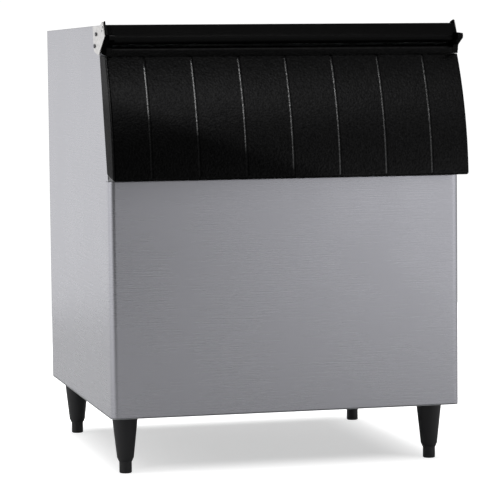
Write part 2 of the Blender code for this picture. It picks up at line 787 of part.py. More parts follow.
def end_cap(side):
    """A moulded cap with a thin lip inside the hinge plate's peak and a blind bore for the hinge pin."""
    sign = SIDES[side]
    inner = sign * (HALF - CAP_WIDTH)
    outer = sign * HALF
    cap = side_slab(f"{side}_end_cap", cap_outline(), min(inner, outer), max(inner, outer), BLACK_PLASTIC)
    boolean(cap, corner_cut(side))
    over = rectangle(-OVERRUN, TOP, SIDE_HEAD_SETBACK + OVERRUN, TOP + OVERRUN)
    lip = sign * (HALF - CAP_LIP)
    beyond = sign * (HALF - CAP_WIDTH - OVERRUN)
    boolean(cap, side_slab(f"{side}_over_cap", over, min(lip, beyond), max(lip, beyond)))
    depth = PIN_LENGTH - BUSH_LENGTH + GAP
    centre = (inner + sign * (depth - OVERRUN) / 2, *HINGE)
    boolean(cap, cylinder(f"{side}_pin_bore", PIN_RADIUS + GAP, depth + OVERRUN, centre, "X"))
    return cap


def plate_outline():
    return rounded(
        [
            (CAP_PEAK_SETBACK + PLATE_EDGE_INSET, TOP + CAP_PEAK_RISE, CAP_PEAK_RADIUS),
            (CAP_NOSE_SETBACK + PLATE_EDGE_INSET, TOP - PLATE_NOSE_DROP, PLATE_CORNER_RADIUS),
            (PLATE_TIP_SETBACK, TOP - PLATE_TIP_DROP, PLATE_CORNER_RADIUS),
            (PLATE_HEEL_SETBACK, TOP - PLATE_HEEL_DROP, 2 * PLATE_CORNER_RADIUS),
            (PLATE_BACK_SETBACK, TOP - PLATE_TOP_DROP, PLATE_CORNER_RADIUS),
            (PLATE_SHOULDER_SETBACK, TOP - PLATE_TOP_DROP, PLATE_CORNER_RADIUS),
        ]
    )


def hinge_plate(side):
    sign = SIDES[side]
    inner = sign * (HALF + GAP)
    outer = inner + sign * PLATE_THICKNESS
    name = f"{side}_hinge_plate"
    return side_slab(name, plate_outline(), min(inner, outer), max(inner, outer), BRIGHT_STEEL)


def fixing(name, place, sign, radius, length, head_radius, head_height, finish, steps):
    """A headed screw or rivet whose head bears on the outside of a hinge plate."""
    profile = [
        (0, head_height),
        (head_radius * HEAD_CROWN_SHARE, head_height),
        (head_radius, head_height * HEAD_RIM_SHARE),
        (head_radius, 0),
        (radius, 0),
        (radius, -length),
        (0, -length),
    ]
    seat = sign * (HALF + PLATE_THICKNESS + 2 * GAP)
    origin = Matrix.Translation((seat, FRONT + place[0], TOP - place[1]))
    return turned(name, profile, origin @ Matrix.Rotation(sign * math.pi / 2, 4, "Y"), finish, steps)


def plate_fixings(side, plate, panel, cap, foam):
    """Two screws through the plate into the cabinet side, and two rivets through it into the end cap."""
    sign = SIDES[side]
    for role, place in PLATE_SCREWS.items():
        fixing(f"{side}_plate_screw_{role}", place, sign, SCREW_RADIUS, SCREW_LENGTH,
               SCREW_HEAD_RADIUS, SCREW_HEAD_HEIGHT, BRIGHT_STEEL, SMALL_STEPS)
        hole = fixing_hole(f"{side}_screw_hole_{role}", place, sign, SCREW_RADIUS, SCREW_LENGTH)
        for piece in (plate, panel, foam):
            boolean(piece, hole)
    for role, place in CAP_RIVETS.items():
        fixing(f"{side}_cap_rivet_{role}", place, sign, RIVET_RADIUS, RIVET_LENGTH,
               RIVET_HEAD_RADIUS, RIVET_HEAD_HEIGHT, BRIGHT_STEEL, SMALL_STEPS)
        hole = fixing_hole(f"{side}_rivet_hole_{role}", place, sign, RIVET_RADIUS, RIVET_LENGTH)
        for piece in (plate, cap):
            boolean(piece, hole)


def fixing_hole(name, place, sign, radius, length):
    """Clearance for a fixing's shank, from outside the plate to just past the shank's end."""
    depth = length + OVERRUN
    middle = HALF + PLATE_THICKNESS + GAP - length + depth / 2
    return cylinder(name, radius + GAP, depth, (sign * middle, place[0], TOP - place[1]), "X")


# Door

def door_section(share, inset=0, back_inset=0, ribs=0, rib_height=0):
    """One lofted section of the door: an open U in plan, from one back edge round the front to the other."""
    back_z = DOOR_BACK_BOTTOM + (DOOR_BACK_TOP - DOOR_BACK_BOTTOM) * share
    front_z = DOOR_BOTTOM + (DOOR_TOP - DOOR_BOTTOM) * share
    back = Vector((door_back_y(back_z), back_z))
    front = Vector((bow_y(front_z), front_z))
    along = (front - back).normalized()
    square_on = along.dot(front - Vector(BOW_CENTRE)) / BOW_RADIUS
    reach = (front - back).length - inset / square_on
    half = DOOR_HALF - inset
    radius = DOOR_CORNER_RADIUS - inset
    flat = [(-half, back_inset), *arc((radius - half, reach - radius), radius, 180, 90)]
    for index in range(ribs):
        middle = (index - (ribs - 1) / 2) * RIB_PITCH
        for place, height in RIB_FORM_SHARES:
            flat.append((middle + place * RIB_WIDTH, reach + height * rib_height))
    flat += [*arc((half - radius, reach - radius), radius, 90, 0), (half, back_inset)]
    points = []
    for x, depth in flat:
        place = back + along * depth
        points.append((x, FRONT + place.x, place.y))
    return points


def loft(name, sections, closed_back, edge_round=0):
    """A mesh through sections of equal count, capped at its foot and head, with its lower edge rounded."""
    shape = bmesh.new()
    rings = [[shape.verts.new(point) for point in section] for section in sections]
    count = len(rings[0])
    for low, high in zip(rings, rings[1:]):
        for index in range(count if closed_back else count - 1):
            after = (index + 1) % count
            shape.faces.new((low[index], low[after], high[after], high[index]))
    foot = shape.faces.new(rings[0])
    shape.faces.new(rings[-1])
    bmesh.ops.recalc_face_normals(shape, faces=shape.faces)
    if edge_round:
        lower = [edge for edge in foot.edges if len(edge.link_faces) == 2]
        bmesh.ops.bevel(
            shape, geom=lower, offset=edge_round, segments=CORNER_STEPS, profile=0.5, affect="EDGES"
        )
    mesh = bpy.data.meshes.new(name)
    shape.to_mesh(mesh)
    shape.free()
    mesh.shade_smooth()
    mesh.set_sharp_from_angle(angle=SMOOTH_ANGLE)
    return mesh


def door_skin():
    """The bowed outer moulding, open at its back, with ribs and a hinge barrel along its top."""
    height = DOOR_TOP - DOOR_BOTTOM
    ribbed = [level / DOOR_LEVELS for level in range(1, DOOR_LEVELS)]
    ribbed = [RIB_FOOT_RUNOUT / height, *ribbed, 1 - RIB_HEAD_RUNOUT / height]
    sections = [door_section(share, ribs=RIB_COUNT, rib_height=RIB_HEIGHT) for share in ribbed]
    sections = [door_section(0, ribs=RIB_COUNT), *sections, door_section(1, ribs=RIB_COUNT)]
    mesh = loft("door_skin", sections, False, DOOR_EDGE_ROUND)
    skin = add("door_skin", mesh, BLACK_PLASTIC)
    solidify(skin, DOOR_SKIN, -1)
    foot = DOOR_TOP - DOOR_SKIN / 2
    web_back = HINGE[0] + DOOR_SKIN + BARREL_WEB
    outline = [(web_back, foot), *arc(HINGE, BARREL_RADIUS, 0, 180, 2 * ARC_STEPS), (bow_y(foot) + GAP, foot)]
    barrel = side_slab("hinge_barrel", outline, GAP - INNER_END, INNER_END - GAP)
    boolean(skin, barrel, "UNION")
    for side, sign in SIDES.items():
        length = BUSH_LENGTH + GAP + OVERRUN
        centre = (sign * (INNER_END - GAP + OVERRUN - length / 2), *HINGE)
        radius = PIN_RADIUS + BUSH_WALL + 2 * GAP
        boolean(skin, cylinder(f"{side}_bush_seat", radius, length, centre, "X"))
    return skin


def door_insulation():
    """Foam inside the skin, behind the inner pan."""
    inset = DOOR_SKIN + GAP
    end = DOOR_FOAM_END_INSET / (DOOR_TOP - DOOR_BOTTOM)
    back_inset = PAN_THICKNESS + 2 * GAP
    sections = []
    for level in range(DOOR_LEVELS + 1):
        share = end + (1 - 2 * end) * level / DOOR_LEVELS
        sections.append(door_section(share, inset, back_inset))
    return add("door_insulation", loft("door_insulation", sections, True), FOAM)


def door_plane():
    """Local (x, up the door's back, forwards) to the world, from the back's lower edge."""
    rise = math.cos(FRAME_ANGLE)
    run = math.sin(FRAME_ANGLE)
    foot = FRONT + door_back_y(DOOR_BACK_BOTTOM)
    return Matrix(((1, 0, 0, 0), (0, run, -rise, foot), (0, rise, run, DOOR_BACK_BOTTOM), (0, 0, 0, 1)))


def up_the_door(z):
    """Distance up the door's back plane to a height."""
    return (z - DOOR_BACK_BOTTOM) / math.cos(FRAME_ANGLE)


def door_inner_pan():
    """The door's lining: a flange that carries the gasket and a shallow plug that enters the opening."""
    half = DOOR_HALF - DOOR_SKIN - GAP
    plug_half = ACCESS_HALF - PLUG_CLEARANCE
    reach = -GASKET_SPACE - PLUG_REACH
    flange = (-half, PAN_MARGIN, half, up_the_door(DOOR_BACK_TOP) - PAN_MARGIN)
    low = up_the_door(SILL + SILL_SLOPE) + PLUG_CLEARANCE
    high = up_the_door(ACCESS_TOP) - PLUG_CLEARANCE
    rims = [
        (flange, 0),
        ((-plug_half, low, plug_half, high), 0),
        ((PLUG_TAPER - plug_half, low + PLUG_TAPER, plug_half - PLUG_TAPER, high - PLUG_TAPER), reach),
    ]
    shape = bmesh.new()
    loops = [[shape.verts.new((*place, depth)) for place in rectangle(*rim)] for rim, depth in rims]
    for outer, inner in zip(loops, loops[1:]):
        for index in range(len(outer)):
            after = (index + 1) % len(outer)
            shape.faces.new((outer[index], inner[index], inner[after], outer[after]))
    shape.faces.new(reversed(loops[-1]))
    mesh = bpy.data.meshes.new("door_inner_pan")
    shape.to_mesh(mesh)
    shape.free()
    pan = add("door_inner_pan", mesh, WHITE_PLASTIC, door_plane())
    bevel_bends(pan)
    solidify(pan, PAN_THICKNESS, -1)
    return pan


def door_gasket():
    """A ring of rubber between the pan's flange and the frame round the access opening."""
    half = ACCESS_HALF + GASKET_SIDE_MARGIN
    low = up_the_door(SILL) - GASKET_END_MARGIN
    high = up_the_door(ACCESS_TOP) + GASKET_END_MARGIN
    width = GASKET_WIDTH
    outer = rectangle(-half - width, low - width, half + width, high + width, GASKET_CORNER_RADIUS)
    inner = rectangle(-half, low, half, high, GASKET_CORNER_RADIUS - width)
    place = door_plane() @ Matrix.Translation((0, 0, -GASKET_SPACE / 2))
    mesh = outline_mesh("door_gasket", [outer, inner], GASKET_SPACE - 2 * GAP)
    return add("door_gasket", mesh, RUBBER, place)


def hinge_pin(side):
    """A steel pin held in the end cap's bore that reaches into the door's bush."""
    sign = SIDES[side]
    start = HALF - CAP_WIDTH + PIN_LENGTH - BUSH_LENGTH
    centre = (sign * (start - PIN_LENGTH / 2), *HINGE)
    return cylinder(f"{side}_hinge_pin", PIN_RADIUS, PIN_LENGTH, centre, "X", BRIGHT_STEEL)


def hinge_bush(side):
    sign = SIDES[side]
    bore = PIN_RADIUS + GAP
    outer = bore + BUSH_WALL
    middle = sign * (INNER_END - 2 * GAP - BUSH_LENGTH / 2)
    reach = BUSH_LENGTH / 2 - GAP
    profile = [(bore, reach), (outer, reach), (outer, -reach), (bore, -reach)]
    place = Matrix.Translation((middle, FRONT + HINGE[0], HINGE[1])) @ Matrix.Rotation(math.pi / 2, 4, "Y")
    return turned(f"{side}_hinge_bush", profile, place, NYLON, SMALL_STEPS, ring=True)


# Inside the bin

def ice_baffle(liner, foam):
    """A steel deflector hung on the header by two thumb screws, which holds ice back from the opening."""
    face = HEADER_DEPTH + GAP
    bend = TOP - BAFFLE_BEND_DROP
    path = [(face, TOP - BAFFLE_TOP_DROP), (face, bend), (face + BAFFLE_LEAN, TOP - BAFFLE_FOOT_DROP)]
    baffle = folded_sheet("ice_baffle", path, BAFFLE_HALF, SHEET, STAINLESS, 1)
    for side, sign in SIDES.items():
        seat = face + SHEET + GAP
        x = sign * (BAFFLE_HALF - BAFFLE_SCREW_MARGIN)
        height = TOP - BAFFLE_SCREW_DROP
        profile = [
            (0, KNOB_HEIGHT),
            (KNOB_RADIUS - SHEET, KNOB_HEIGHT),
            (KNOB_RADIUS, KNOB_HEIGHT - SHEET),
            (KNOB_RADIUS, 0),
            (KNOB_SCREW_RADIUS, 0),
            (KNOB_SCREW_RADIUS, -KNOB_SCREW_LENGTH),
            (0, -KNOB_SCREW_LENGTH),
        ]
        place = Matrix.Translation((x, FRONT + seat, height)) @ Matrix.Rotation(-math.pi / 2, 4, "X")
        turned(f"{side}_baffle_screw", profile, place, NYLON, SMALL_STEPS)
        depth = KNOB_SCREW_LENGTH + OVERRUN
        centre = (x, seat - GAP - KNOB_SCREW_LENGTH + depth / 2, height)
        hole = cylinder(f"{side}_baffle_hole", KNOB_SCREW_RADIUS + GAP, depth, centre, "Y")
        for piece in (baffle, liner, foam):
            boolean(piece, hole)


def drain(liner, foam, base):
    """A flanged drain through the floor with a strainer on it and a nut under the base."""
    y = CABINET_DEPTH - DRAIN_FROM_BACK
    seat = FLOOR_BACK + GAP
    foot = LEG_HEIGHT - DRAIN_PIPE_BELOW
    place = Matrix.Translation((0, FRONT + y, 0))
    profile = [
        (DRAIN_BORE_RADIUS, seat + DRAIN_FLANGE_HEIGHT),
        (DRAIN_FLANGE_RADIUS, seat + DRAIN_FLANGE_HEIGHT),
        (DRAIN_FLANGE_RADIUS, seat),
        (DRAIN_PIPE_RADIUS, seat),
        (DRAIN_PIPE_RADIUS, foot),
        (DRAIN_BORE_RADIUS, foot),
    ]
    turned("drain_fitting", profile, place, BRASS, ROUND_STEPS, ring=True)
    hole_radius = DRAIN_PIPE_RADIUS + GAP
    depth = FLOOR_BACK - LEG_HEIGHT + 2 * OVERRUN
    middle = (0, y, (FLOOR_BACK + LEG_HEIGHT) / 2)
    hole = cylinder("drain_hole", hole_radius, depth, middle, steps=ROUND_STEPS)
    for piece in (liner, foam, base):
        boolean(piece, hole)
    nut_middle = (0, y, LEG_HEIGHT - GAP - DRAIN_NUT_HEIGHT / 2)
    nut = cylinder("drain_nut", DRAIN_NUT_RADIUS, DRAIN_NUT_HEIGHT, nut_middle, finish=BRASS, steps=6)
    boolean(nut, hole)
    top = seat + DRAIN_FLANGE_HEIGHT + GAP
    strainer_middle = (0, y, top + STRAINER_HEIGHT / 2)
    radius = DRAIN_FLANGE_RADIUS - STRAINER_MARGIN
    strainer = cylinder(
        "drain_strainer", radius, STRAINER_HEIGHT, strainer_middle, finish=STAINLESS, steps=ROUND_STEPS
    )
    for index in range(STRAINER_HOLES + 1):
        angle = 2 * math.pi * index / STRAINER_HOLES
        ring = STRAINER_RING_RADIUS if index < STRAINER_HOLES else 0
        centre = (ring * math.cos(angle), y + ring * math.sin(angle), strainer_middle[2])
        boolean(
            strainer,
            cylinder(f"strainer_hole_{index}", STRAINER_HOLE_RADIUS, OVERRUN, centre, steps=HOLE_STEPS),
        )


# Legs and feet

def leg_set(name, x, y, base, foam):
    """A tapered leg on a stud that screws into a plate above the base, with a levelling foot in its end."""
    place = Matrix.Translation((x, FRONT + y, 0))
    top = LEG_HEIGHT - GAP
    foot_top = FOOT_HEIGHT + GAP
    stud_bore = STUD_RADIUS + GAP
    stem_bore = FOOT_STEM_RADIUS + GAP
    leg_profile = [
        (0, top - STUD_IN_LEG - GAP),
        (stud_bore, top - STUD_IN_LEG - GAP),
        (stud_bore, top),
        (LEG_TOP_RADIUS - LEG_TOP_EDGE, top),
        (LEG_TOP_RADIUS, top - LEG_TOP_EDGE),
        (LEG_TAPER_RADIUS, foot_top + LEG_CHAMFER),
        (LEG_END_RADIUS, foot_top),
        (stem_bore, foot_top),
        (stem_bore, foot_top + LEG_BORE_DEPTH),
        (0, foot_top + LEG_BORE_DEPTH),
    ]
    turned(f"{name}_leg", leg_profile, place, LEG_PLASTIC)
    foot_profile = [
        (0, FOOT_HEIGHT + FOOT_STEM_LENGTH),
        (FOOT_STEM_RADIUS, FOOT_HEIGHT + FOOT_STEM_LENGTH),
        (FOOT_STEM_RADIUS, FOOT_HEIGHT),
        (FOOT_RADIUS, FOOT_HEIGHT),
        (FOOT_RADIUS, FOOT_CHAMFER),
        (FOOT_RADIUS - FOOT_CHAMFER, 0),
        (0, 0),
    ]
    turned(f"{name}_levelling_foot", foot_profile, place, LEG_PLASTIC)
    stud_length = STUD_IN_LEG + STUD_IN_BIN
    stud_middle = (x, y, top + (STUD_IN_BIN - STUD_IN_LEG) / 2)
    cylinder(
        f"{name}_leg_stud", STUD_RADIUS, stud_length, stud_middle, finish=BRIGHT_STEEL, steps=SMALL_STEPS
    )
    plate_foot = BODY_FOOT
    plate_top = plate_foot + LEG_PLATE_THICKNESS
    square = rectangle(x - LEG_PLATE_HALF, y - LEG_PLATE_HALF, x + LEG_PLATE_HALF, y + LEG_PLATE_HALF)
    plate = plan_slab(f"{name}_leg_plate", [square], plate_foot, plate_top, GALVANISED)
    boss_foot = plate_top - LEG_PLATE_THICKNESS / 2
    boss_top = plate_top + LEG_BOSS_HEIGHT
    boss_middle = (x, y, (boss_foot + boss_top) / 2)
    boolean(plate, cylinder(f"{name}_boss", LEG_BOSS_RADIUS, boss_top - boss_foot, boss_middle), "UNION")
    hole = cylinder(f"{name}_stud_hole", stud_bore, 2 * OVERRUN, (x, y, LEG_HEIGHT))
    boolean(plate, hole)
    boolean(base, hole)
    grown = LEG_PLATE_HALF + GAP
    pocket_outline = rectangle(x - grown, y - grown, x + grown, y + grown)
    pocket = plan_slab(f"{name}_plate_pocket", [pocket_outline], LEG_HEIGHT - GAP, plate_top + GAP)
    boss_room = boss_top + GAP - LEG_HEIGHT
    room_middle = (x, y, LEG_HEIGHT + boss_room / 2)
    room = cylinder(f"{name}_boss_pocket", LEG_BOSS_RADIUS + GAP, boss_room, room_middle)
    boolean(foam, pocket)
    boolean(foam, room)
    pivot = new_pivot(f"{name}_foot_slide", x, y, 0)
    hang_on([bpy.data.objects[f"{name}_levelling_foot"]], pivot)


def build():
    pockets = [cap_pocket(side) for side in SIDES]
    front_panel()
    panels = {side: side_panel(side) for side in SIDES}
    back_panel()
    base = base_panel()
    access = side_slab("access", access_outline(0), -ACCESS_HALF, ACCESS_HALF)
    liner = bin_liner(pockets, tub("ice_space", 0), access)
    foam = wall_insulation(pockets)
    header_rail()
    fascia()
    for side in SIDES:
        plate_fixings(side, hinge_plate(side), panels[side], end_cap(side), foam)
        hinge_pin(side)
    door = [door_skin(), door_inner_pan(), door_insulation(), door_gasket()]
    door += [hinge_bush(side) for side in SIDES]
    hang_on(door, new_pivot("door_hinge", 0, *HINGE))
    ice_baffle(liner, foam)
    drain(liner, foam, base)
    leg_x = HALF - LEG_INSET_X
    for side, sign in SIDES.items():
        leg_set(f"front_{side}", sign * leg_x, LEG_INSET_Y, base, foam)
        leg_set(f"rear_{side}", sign * leg_x, CABINET_DEPTH - LEG_INSET_Y, base, foam)


build()
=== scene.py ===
"""Looks for the ice storage bin: materials, small surface details, studio floor, lights and the camera."""

import math

import bpy
from mathutils import Matrix, Vector

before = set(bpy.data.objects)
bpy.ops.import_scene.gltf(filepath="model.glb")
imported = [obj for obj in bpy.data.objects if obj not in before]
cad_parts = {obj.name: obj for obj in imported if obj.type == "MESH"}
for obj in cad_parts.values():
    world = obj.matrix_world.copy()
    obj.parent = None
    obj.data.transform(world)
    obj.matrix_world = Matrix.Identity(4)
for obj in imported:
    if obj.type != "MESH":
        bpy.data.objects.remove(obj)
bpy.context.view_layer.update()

# Camera, fitted to the cabinet's edges in the photograph
CAMERA_PLACE = Vector((-1.29484, -5.25521, 0.85543))
CAMERA_AZIMUTH = math.radians(-13.89)
CAMERA_ELEVATION = math.radians(4.33)
CAMERA_ROLL = math.radians(-0.60)
LENS = 173.7
SENSOR = 36.0

# Edges sharper than this stay crisp
SMOOTH_ANGLE = math.radians(32)
WELD_DISTANCE = 0.000002

# Colour and roughness of each material
STAINLESS = ((0.60, 0.60, 0.64), 0.28)
BRIGHT_STEEL = ((0.80, 0.80, 0.81), 0.24)
PLATED_STEEL = ((0.93, 0.91, 0.88), 0.22)
DARK_STEEL = ((0.20, 0.20, 0.21), 0.40)
GALVANISED = ((0.56, 0.58, 0.59), 0.48)
BRASS = ((0.66, 0.47, 0.22), 0.34)
DOOR_PLASTIC = ((0.0010, 0.0010, 0.0010), 0.24)
TRIM_PLASTIC = ((0.0015, 0.0015, 0.0015), 0.30)
LEG_PLASTIC = ((0.024, 0.024, 0.025), 0.48)
LINER_PLASTIC = ((0.80, 0.81, 0.83), 0.38)
NYLON = ((0.82, 0.81, 0.76), 0.45)
RUBBER = ((0.030, 0.030, 0.031), 0.62)
FOAM = ((0.80, 0.70, 0.44), 0.90)
FLOOR = ((0.59, 0.59, 0.59), 0.90)
WHITE = (1, 1, 1, 1)

# Brushed metal: the scale of its streaks along x, y and z, and its darkest and lightest tone
SHEET_GRAIN = (9, 9, 900)
FIXING_GRAIN = (240, 240, 240)
BRASS_GRAIN = (300, 300, 300)
PLATE_GRAIN = (50, 50, 130)
SHEET_TONES = (0.97, 1.02)
PLATE_TONES = (0.60, 1.30)
STREAK_DETAIL = 3.0
STREAK_GLOSS = 0.04
STREAK_DEPTH = 0.0001
STREAK_STRENGTH = 0.05
METAL_MOTTLE_SCALE = 6.0
METAL_MOTTLE_GLOSS = 0.03
HIGHLIGHT_STRETCH = 0.6
HIGHLIGHT_TURN = 0.25

# Galvanised sheet
SPANGLE_SCALE = 90.0
SPANGLE_TONE = 0.82
SPANGLE_GLOSS = 0.08

# Black plastic: its shine face on and at a grazing angle, the scale and strength of its pebble grain,
# the spread of the shine's speckle, and the gain on the flanks of ribs, a painted highlight
DOOR_SURFACE = {
    "shine": 0.17,
    "grazing": 0.005,
    "grain": 230,
    "strength": 0.30,
    "speckle": 1.0,
    "gain": 5.0,
}
TRIM_SURFACE = {
    "shine": 0.12,
    "grazing": 0.0,
    "grain": 900,
    "strength": 0.18,
    "speckle": 0.3,
    "gain": 1.0,
}
PLAIN_SHINE = 0.25
PEBBLE_DEPTH = 0.0006
COARSE_SCALE = 0.4
COARSE_DETAIL = 3.0
COARSE_STRENGTH = 0.8
SPECKLE_DETAIL = 4.0
BLACK_MOTTLE_SCALE = 9.0
BLACK_MOTTLE_GLOSS = 0.04
FACING_BLEND = 0.5
FACING_SPREAD = (0.15, 0.65)

# Half the width of the door that has ribs, and the lean over which a rib's flank gets its painted highlight
RIBBED_HALF = 0.34
LEAN_SPREAD = (0.10, 0.40)

# A painted shade at the door's lower left lowers its shine below a line that falls to the right: the line's
# height at the middle, its fall and its softness, and the share of the shine that is left
PAINTED_SHADE_HEIGHT = 0.652
PAINTED_SHADE_FALL = 0.36
PAINTED_SHADE_SOFTNESS = 0.024
PAINTED_SHADE_LEVEL = 0.50

# Smooth plastic and rubber
RIPPLE_SCALE = 260
RIPPLE_DEPTH = 0.0004
RIPPLE_STRENGTH = 0.08
PLASTIC_MOTTLE_SCALE = 7.0
PLASTIC_MOTTLE_DETAIL = 3.0
PLASTIC_MOTTLE_TONE = 0.94
PLASTIC_MOTTLE_GLOSS = 0.05

# Foam
CELL_SCALE = 420.0
CELL_DETAIL = 4.0
CELL_TONE = 0.82
CELL_DEPTH = 0.001
CELL_STRENGTH = 0.5

# Floor: how far back the middle of the shadow lies, and the glow that whitens the floor away from it; the
# weaker glow near the bin is a painted shadow, over the lamps' own cast shadow
FLOOR_REACH = 3.0
PAINTED_SHADOW_BACK = 0.08
GLOW_SPREAD = (0.24, 0.46)
GLOW_LEVELS = (0.53, 1.05)

# Surround: the strength of the white that the camera sees, and the tint of what the bin reflects
WHITE_LEVEL = 1.05
SURROUND_TINT = (0.985, 0.985, 1.0)

# Brightness of the surround by compass angle in degrees, 0 in front and positive to the right
SURROUND_BY_COMPASS = (
    (-180, 0.71),
    (-166, 0.775),
    (-120, 0.90),
    (-60, 0.90),
    (-40, 0.35),
    (-28, 0.10),
    (8, 0.14),
    (13, 0.42),
    (20, 1.20),
    (60, 1.05),
    (90, 0.70),
    (115, 0.30),
    (160, 0.30),
    (180, 0.71),
)

# and by height, -1 straight down and 1 straight up
SURROUND_BY_HEIGHT = ((-1, 0.8), (0.0, 1.0), (0.15, 0.55), (0.57, 0.40), (0.80, 0.25), (1, 0.12))

# A soft bright panel high in front, a little to the right: its middle, and the angles over which it fades
PANEL_COMPASS = math.radians(4.0)
PANEL_HEIGHT = math.radians(40.0)
PANEL_SPREAD = (math.radians(8.0), math.radians(17.0))
PANEL_LEVEL = 1.4

# Lamps: name, place, target, size and power
LIGHTS = (
    ("left", (-4.2, -0.6, 2.6), (-0.3, 0.0, 0.5), (1.2, 1.6), 30),
    ("overhead", (0.0, 1.8, 4.4), (0.0, 0.2, 0.0), (3.6, 3.0), 150),
)


def make_camera():
    """A long lens from the front left, near the height of the bin's top and tilted a little down."""
    flat = math.cos(CAMERA_ELEVATION)
    back = Vector((
        math.sin(CAMERA_AZIMUTH) * flat,
        -math.cos(CAMERA_AZIMUTH) * flat,
        math.sin(CAMERA_ELEVATION),
    ))
    right = Vector((math.cos(CAMERA_AZIMUTH), math.sin(CAMERA_AZIMUTH), 0))
    up = back.cross(right)
    turned_right = right * math.cos(CAMERA_ROLL) + up * math.sin(CAMERA_ROLL)
    turned_up = up * math.cos(CAMERA_ROLL) - right * math.sin(CAMERA_ROLL)
    camera = bpy.data.objects.new("camera", bpy.data.cameras.new("camera"))
    camera.data.sensor_width = SENSOR
    camera.data.lens = LENS
    camera.matrix_world = Matrix.Translation(CAMERA_PLACE) @ Matrix(
        (turned_right, turned_up, back)
    ).transposed().to_4x4()
    bpy.context.scene.collection.objects.link(camera)
    bpy.context.scene.camera = camera


# Nodes

def new_material(name, colour, roughness, metallic=0.0):
    """A material, its tree and its shader, with the plain values set on the shader's own sockets."""
    material = bpy.data.materials.new(name)
    material.use_nodes = True
    tree = material.node_tree
    shader = tree.nodes["Principled BSDF"]
    shader.inputs["Base Color"].default_value = (*colour, 1)
    shader.inputs["Roughness"].default_value = roughness
    shader.inputs["Metallic"].default_value = metallic
    return material, tree, shader


def toned(colour, tone):
    return tuple(channel * tone for channel in colour)


def calculated(tree, operation, first, second=0.0):
    """A Math node's value from two sockets or numbers."""
    node = tree.nodes.new("ShaderNodeMath")
    node.operation = operation
    for socket, value in zip(node.inputs, (first, second)):
        if isinstance(value, (int, float)):
            socket.default_value = value
        else:
            tree.links.new(value, socket)
    return node.outputs["Value"]


def ranged(tree, source, values, spread=(0.0, 1.0), smooth=False):
    """Runs from one value to another as the source crosses a spread, and is held at both ends."""
    span = tree.nodes.new("ShaderNodeMapRange")
    if smooth:
        span.interpolation_type = "SMOOTHSTEP"
    for name, value in zip(("From Min", "From Max", "To Min", "To Max"), (*spread, *values)):
        span.inputs[name].default_value = value
    tree.links.new(source, span.inputs["Value"])
    return span.outputs["Result"]


def axes_of(tree, vector):
    """The outputs X, Y and Z of a vector socket."""
    parts = tree.nodes.new("ShaderNodeSeparateXYZ")
    tree.links.new(vector, parts.inputs["Vector"])
    return parts.outputs


def add_noise(tree, scale, detail=2.0, stretch=(1, 1, 1)):
    """Noise in object space, stretched along an axis by scaling its coordinates."""
    place = tree.nodes.new("ShaderNodeTexCoord")
    mapping = tree.nodes.new("ShaderNodeMapping")
    mapping.inputs["Scale"].default_value = stretch
    noise = tree.nodes.new("ShaderNodeTexNoise")
    noise.inputs["Scale"].default_value = scale
    noise.inputs["Detail"].default_value = detail
    tree.links.new(place.outputs["Object"], mapping.inputs["Vector"])
    tree.links.new(mapping.outputs["Vector"], noise.inputs["Vector"])
    return noise.outputs["Fac"]


def add_cells(tree, scale):
    """The outputs of random cells in object space."""
    place = tree.nodes.new("ShaderNodeTexCoord")
    cells = tree.nodes.new("ShaderNodeTexVoronoi")
    cells.inputs["Scale"].default_value = scale
    tree.links.new(place.outputs["Object"], cells.inputs["Vector"])
    return cells.outputs


def add_tint(tree, source, low, high):
    """A colour that runs from one to another with a 0 to 1 value."""
    mix = tree.nodes.new("ShaderNodeMix")
    mix.data_type = "RGBA"
    mix.inputs["A"].default_value = (*low, 1)
    mix.inputs["B"].default_value = (*high, 1)
    tree.links.new(source, mix.inputs["Factor"])
    return mix.outputs["Result"]


def add_bump(tree, shader, heights, distance, strength):
    """Bump from one or more height values, chained, each with its share of the strength."""
    normal = None
    for height, share in heights:
        bump = tree.nodes.new("ShaderNodeBump")
        bump.inputs["Distance"].default_value = distance
        bump.inputs["Strength"].default_value = strength * share
        tree.links.new(height, bump.inputs["Height"])
        if normal is not None:
            tree.links.new(normal, bump.inputs["Normal"])
        normal = bump.outputs["Normal"]
    tree.links.new(normal, shader.inputs["Normal"])


def add_curve(tree, source, stops):
    """Values set at stops along the source, from the first stop to the last, as a colour ramp."""
    low = stops[0][0]
    high = stops[-1][0]
    ramp = tree.nodes.new("ShaderNodeValToRGB")
    elements = ramp.color_ramp.elements
    for index, (place, value) in enumerate(stops):
        position = (place - low) / (high - low)
        element = elements[index] if index < 2 else elements.new(position)
        element.position = position
        element.color = (value, value, value, 1)
    tree.links.new(ranged(tree, source, (0.0, 1.0), (low, high)), ramp.inputs["Fac"])
    return ramp.outputs["Color"]


# Materials

def brushed(name, colour, roughness, grain=SHEET_GRAIN, tones=SHEET_TONES):
    """Brushed metal: streaks along the grain in its colour, gloss and bump, and faint broad mottling."""
    material, tree, shader = new_material(name, colour, roughness, 1.0)
    streaks = add_noise(tree, 1.0, STREAK_DETAIL, grain)
    mottle = add_noise(tree, METAL_MOTTLE_SCALE)
    dark, light = (toned(colour, tone) for tone in tones)
    streak_gloss = ranged(tree, streaks, (roughness - STREAK_GLOSS, roughness + STREAK_GLOSS))
    mottle_gloss = ranged(tree, mottle, (-METAL_MOTTLE_GLOSS, METAL_MOTTLE_GLOSS))
    gloss = calculated(tree, "ADD", streak_gloss, mottle_gloss)
    tree.links.new(add_tint(tree, streaks, dark, light), shader.inputs["Base Color"])
    tree.links.new(gloss, shader.inputs["Roughness"])
    add_bump(tree, shader, [(streaks, 1.0)], STREAK_DEPTH, STREAK_STRENGTH)
    shader.inputs["Anisotropic"].default_value = HIGHLIGHT_STRETCH
    shader.inputs["Anisotropic Rotation"].default_value = HIGHLIGHT_TURN
    return material


